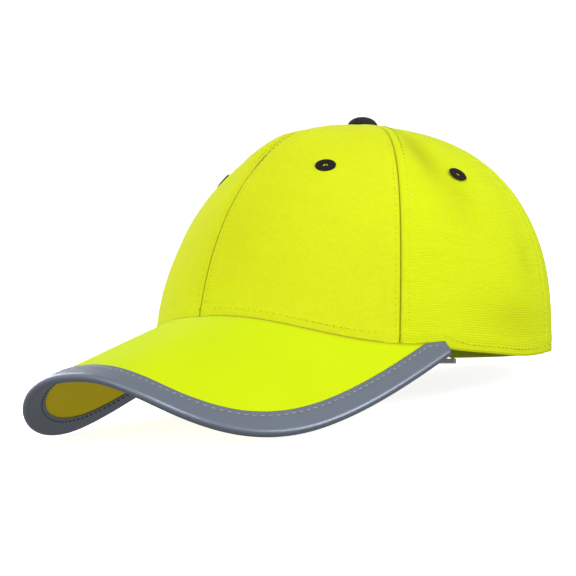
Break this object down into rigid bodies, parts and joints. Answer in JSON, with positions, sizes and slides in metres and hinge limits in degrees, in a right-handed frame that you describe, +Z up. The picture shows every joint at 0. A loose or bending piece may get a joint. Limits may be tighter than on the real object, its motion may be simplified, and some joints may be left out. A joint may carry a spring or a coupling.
{
  "type": "bump cap",
  "caption": "Peaked high-visibility bump cap: cloth crown panels over a vented hard liner with foam pads, a curved bound peak and a hook-and-loop strap across the rear opening.",
  "frame": {"origin": "bottom centre of the cap's box, on the table it rests on", "axes": "+Z up, -Y the way the wearer faces, +X the wearer's left"},
  "size_m": [0.1786, 0.2687, 0.1286],
  "materials": {
    "crown_cloth": "fluorescent yellow woven polyester, matte",
    "eyelet_thread": "dark navy embroidery thread",
    "seam_tape": "black polyester tape",
    "button_cloth": "dark charcoal twill",
    "button_metal": "plain steel pressing",
    "sweatband_cloth": "black knitted wicking cloth",
    "peak_board": "flexible moulded board",
    "reflective_tape": "grey retroreflective tape, slight sheen",
    "strap_webbing": "fluorescent yellow strap",
    "ring_plastic": "white moulded",
    "hook_and_loop": "black hook and loop tape",
    "liner_plastic": "black moulded",
    "foam": "closed cell foam"
  },
  "bodies": {
    "crown": {"panel_front_left": "crown_cloth", "eyelet_front_left": "eyelet_thread", "panel_side_left": "crown_cloth", "eyelet_side_left": "eyelet_thread", "panel_back_left": "crown_cloth", "eyelet_back_left": "eyelet_thread", "seam_tape_front_left": "seam_tape", "seam_tape_back_left": "seam_tape", "panel_front_right": "crown_cloth", "eyelet_front_right": "eyelet_thread", "panel_side_right": "crown_cloth", "eyelet_side_right": "eyelet_thread", "panel_back_right": "crown_cloth", "eyelet_back_right": "eyelet_thread", "seam_tape_front_right": "seam_tape", "seam_tape_back_right": "seam_tape", "seam_tape_front": "seam_tape", "seam_tape_rear": "seam_tape", "button_cover": "button_cloth", "button_core": "button_metal", "button_washer": "button_metal", "sweatband": "sweatband_cloth", "peak_top_cover": "crown_cloth", "peak_board": "peak_board", "peak_under_cover": "crown_cloth", "peak_trim": "reflective_tape", "opening_trim": "crown_cloth", "adjust_strap": "strap_webbing", "loop_patch": "hook_and_loop", "ring_tab": "strap_webbing", "strap_ring": "ring_plastic", "loop_dots": "hook_and_loop"},
    "liner": {"liner_shell": "liner_plastic", "pad_front": "foam", "pad_left": "foam", "pad_right": "foam", "pad_back": "foam", "pad_crown_front": "foam", "pad_crown_left": "foam", "pad_crown_right": "foam", "hook_dots": "hook_and_loop"},
    "flap": {"strap_flap": "strap_webbing", "hook_patch": "hook_and_loop"}
  },
  "joints": [
    {"name": "liner_out", "type": "slide", "parent": "crown", "child": "liner", "axis": [0, -0.2026, -0.9793], "range_m": [0, 0.12]},
    {"name": "flap_peel", "type": "hinge", "parent": "crown", "child": "flap", "pos_m": [-0.01811, 0.12844, 0.0129], "axis": [0, 0.2026, 0.9793], "range_deg": [0, 150]}
  ]
}
